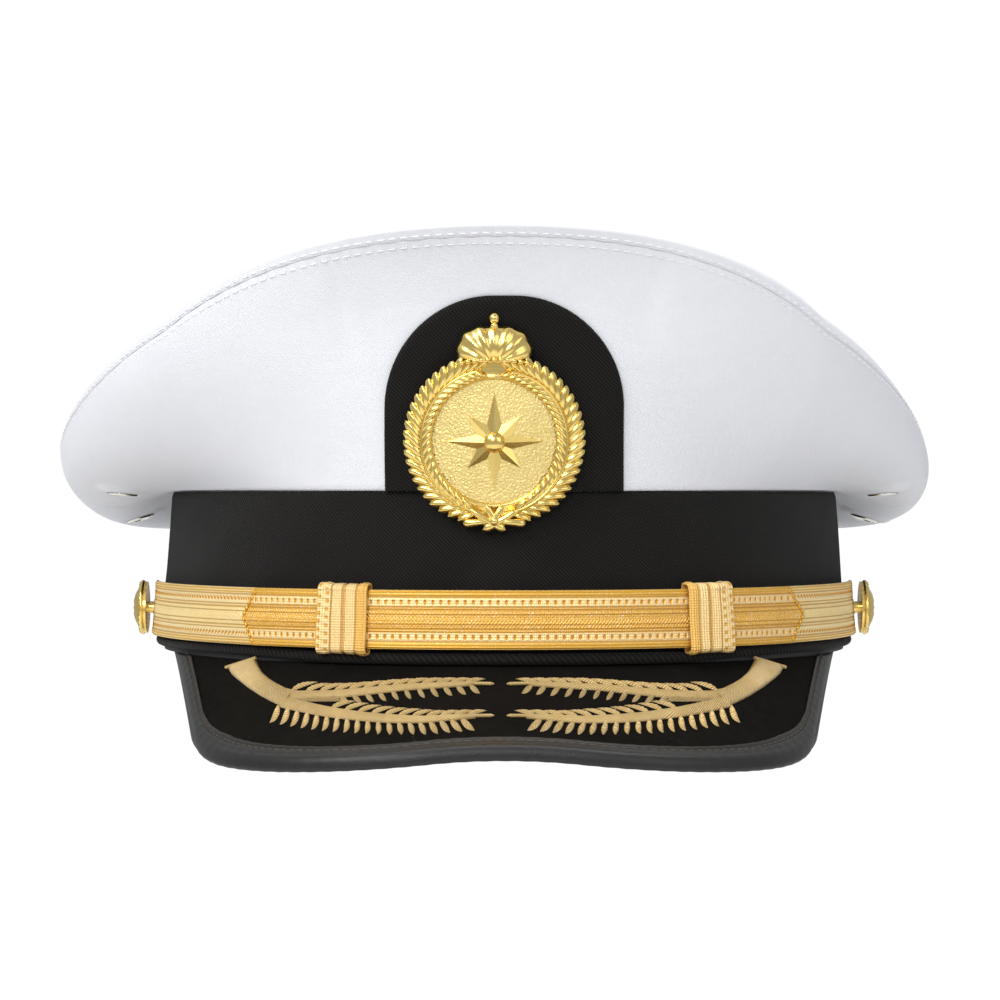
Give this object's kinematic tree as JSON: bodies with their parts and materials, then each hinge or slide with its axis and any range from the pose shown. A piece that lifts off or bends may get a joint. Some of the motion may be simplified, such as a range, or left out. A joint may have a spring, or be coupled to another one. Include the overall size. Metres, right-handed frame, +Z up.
{
  "type": "peaked uniform cap",
  "caption": "Stiffened peaked cap with a flared crown, banded base, curved visor, metal cap badge and a lace chin strap on side buttons.",
  "frame": {"origin": "centre of the head opening, level with the lower edge of the band", "axes": "+Z up, -Y forward over the visor, +X towards the wearer's left"},
  "size_m": [0.2256, 0.2729, 0.1248],
  "materials": {
    "white_cloth": "matte fine twill",
    "stiffener_board": "plain",
    "lining_cloth": "satin weave",
    "clear_film": "clear flexible film",
    "nickel": "polished nickel",
    "black_twill": "matte diagonal twill",
    "gilt_metal": "bright gilt",
    "plain_brass": "plain",
    "sweatband_leather": "smooth",
    "reed_plastic": "plain",
    "black_felt": "brushed wool felt",
    "visor_underside": "fine grain",
    "binding_leather": "semi-gloss fine grain",
    "gold_thread": "metallised thread",
    "gold_lace": "woven metallic lace"
  },
  "bodies": {
    "cap": {"crown_top": "white_cloth", "crown_front_quarter": "white_cloth", "crown_rear_quarter": "white_cloth", "crown_hoop": "stiffener_board", "crown_front_stay": "stiffener_board", "band_stiffener": "stiffener_board", "visor_core": "stiffener_board", "lining_side": "lining_cloth", "lining_top": "lining_cloth", "sweat_shield": "clear_film", "vent_eyelet_front_left": "nickel", "vent_eyelet_front_right": "nickel", "vent_eyelet_rear_left": "nickel", "vent_eyelet_rear_right": "nickel", "vent_eyelet_washers": "nickel", "badge_patch": "black_twill", "band_cover": "black_twill", "band_piping": "black_twill", "badge_plate": "gilt_metal", "badge_wreath": "gilt_metal", "badge_star": "gilt_metal", "badge_finial": "gilt_metal", "badge_posts": "plain_brass", "badge_nuts": "plain_brass", "band_grommet_left": "plain_brass", "band_grommet_right": "plain_brass", "sweatband": "sweatband_leather", "sweatband_reed": "reed_plastic", "visor_top_cloth": "black_felt", "visor_lining": "visor_underside", "visor_binding": "binding_leather", "embroidery_left": "gold_thread", "embroidery_right": "gold_thread"},
    "strap": {"strap_left": "gold_lace", "strap_right": "gold_lace", "strap_centre": "gold_lace"},
    "keeper_left": {"keeper_left": "gold_lace"},
    "keeper_right": {"keeper_right": "gold_lace"},
    "button_left": {"button_dome_left": "gilt_metal", "button_back_left": "plain_brass", "button_nut_left": "plain_brass"},
    "button_right": {"button_dome_right": "gilt_metal", "button_back_right": "plain_brass", "button_nut_right": "plain_brass"}
  },
  "joints": [
    {"name": "strap_swing", "type": "hinge", "parent": "cap", "child": "strap", "pos_m": [0, -0.015, 0.0105], "axis": [-1, 0, 0], "range_deg": [0, 6]},
    {"name": "keeper_left_slide", "type": "hinge", "parent": "strap", "child": "keeper_left", "pos_m": [0, -0.029, 0.0105], "axis": [0, 0, 1], "range_deg": [-20, 10]},
    {"name": "keeper_right_slide", "type": "hinge", "parent": "strap", "child": "keeper_right", "pos_m": [0, -0.029, 0.0105], "axis": [0, 0, -1], "range_deg": [-15, 15]},
    {"name": "button_left_turn", "type": "hinge", "parent": "cap", "child": "button_left", "pos_m": [0.09, -0.015, 0.0105], "axis": [1, 0, 0], "continuous": true},
    {"name": "button_right_turn", "type": "hinge", "parent": "cap", "child": "button_right", "pos_m": [-0.09, -0.015, 0.0105], "axis": [-1, 0, 0], "continuous": true}
  ]
}
